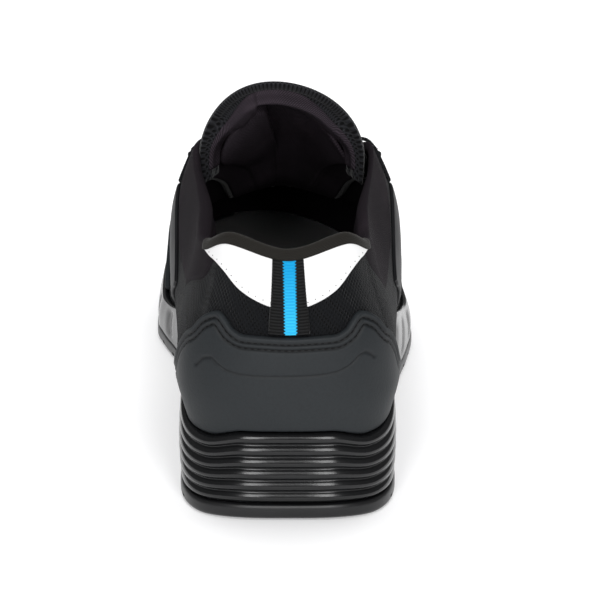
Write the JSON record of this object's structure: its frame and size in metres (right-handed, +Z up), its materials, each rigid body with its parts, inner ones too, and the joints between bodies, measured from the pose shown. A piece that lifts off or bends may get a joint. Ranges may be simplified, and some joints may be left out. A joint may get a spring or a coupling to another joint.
{
  "type": "safety shoe",
  "caption": "Low work trainer for the right foot: hollow mesh upper with padded collar and tongue, moulded heel counter, and cup sole ribbed round the heel.",
  "frame": {"origin": "middle of the shoe's outline seen from above, on the ground under the sole", "axes": "+Y from heel to toe, +X to the outer side of the right foot, +Z up"},
  "size_m": [0.1062, 0.2938, 0.135],
  "materials": {
    "outsole": "black moulded rubber, satin",
    "midsole": "black polyurethane foam skin, semi-gloss",
    "insole": "black felt footbed, matt",
    "mesh": "black sandwich mesh, matt",
    "lining": "black rib-knit lining with a faint plum cast, matt",
    "counter": "dark grey rubbery coated leather, matt",
    "facing": "black smooth film, satin",
    "reflective": "white reflective cloth, matt",
    "binding": "black-olive woven edge binding",
    "webbing": "dark grey ribbed webbing with a bright blue middle stripe",
    "lace": "black woven flat lace"
  },
  "bodies": {
    "root": {"outsole": "outsole", "midsole": "midsole", "insole": "insole", "upper": "mesh", "tongue": "lining", "heel_counter": "counter", "toe_guard": "counter", "lace_facing": "facing", "side_band_outer": "facing", "side_band_inner": "facing", "reflective_outer": "reflective", "reflective_inner": "reflective", "collar_binding": "binding", "pull_tab": "webbing", "lace": "lace"}
  },
  "joints": []
}
